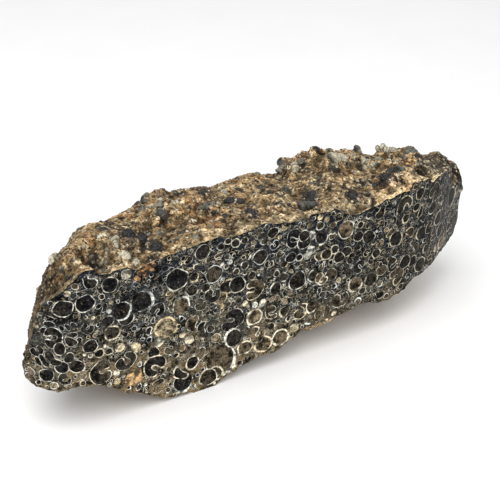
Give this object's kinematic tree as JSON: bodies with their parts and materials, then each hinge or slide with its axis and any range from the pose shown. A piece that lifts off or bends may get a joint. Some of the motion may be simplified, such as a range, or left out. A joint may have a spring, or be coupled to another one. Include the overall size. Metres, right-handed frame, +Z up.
{
  "type": "turritella fossil",
  "caption": "Long block of chert packed with fossil snail shells, its front ground smooth to show them in section; lies flat for display or study.",
  "frame": {"origin": "middle of the bounding box in plan, on the surface that the stone lies on", "axes": "+X along the length, +Y away from the ground front, +Z up"},
  "size_m": [0.1952, 0.0586, 0.0679],
  "materials": {
    "chert": "ground front satin blue-black to olive with cream shell rings; natural skin brown, dull and rough"
  },
  "bodies": {
    "root": {"fossil_stone": "chert"}
  },
  "joints": []
}
